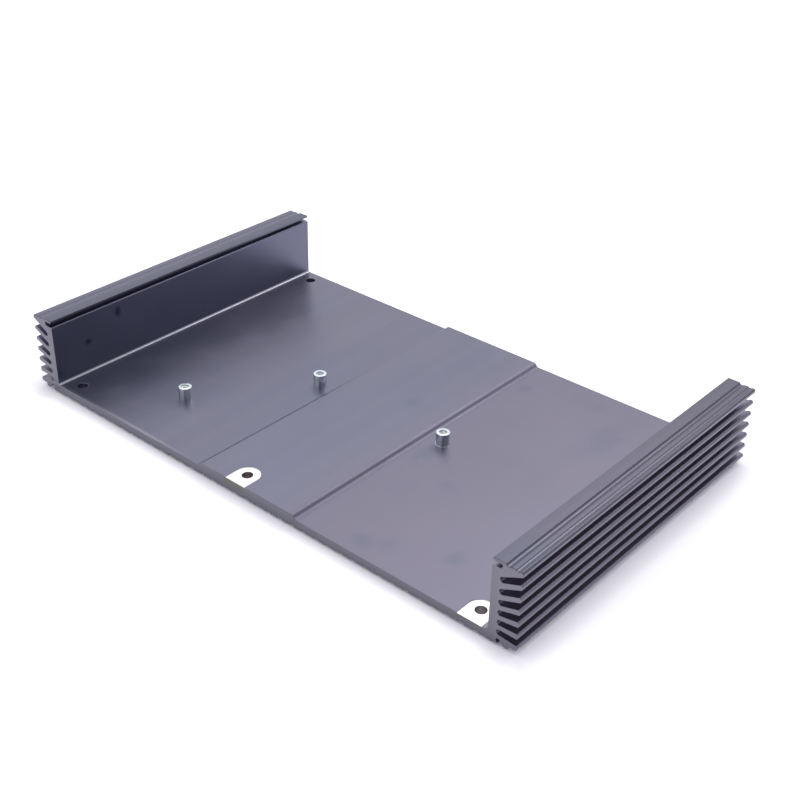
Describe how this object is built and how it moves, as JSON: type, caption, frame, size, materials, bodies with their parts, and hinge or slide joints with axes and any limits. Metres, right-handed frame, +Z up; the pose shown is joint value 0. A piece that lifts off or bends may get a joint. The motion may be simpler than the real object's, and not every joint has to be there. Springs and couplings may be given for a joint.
{
  "type": "heat sink chassis",
  "caption": "U-shaped extruded aluminium heat sink chassis with finned side walls, cover grooves, a raised floor strip and clinched threaded standoffs.",
  "frame": {"origin": "centre of the underside of the extrusion, midway between the walls and between the front and back edges", "axes": "+X across from wall to wall, +Y along the extrusion towards the back edge, +Z up out of the channel"},
  "size_m": [0.243, 0.145, 0.0324],
  "materials": {
    "anodised_aluminium": "black_anodised_satin",
    "zinc_plate": "bright_zinc_plated"
  },
  "bodies": {
    "root": {"chassis": "anodised_aluminium", "standoff_front_left": "zinc_plate", "standoff_middle_left": "zinc_plate", "standoff_middle_right": "zinc_plate"}
  },
  "joints": []
}
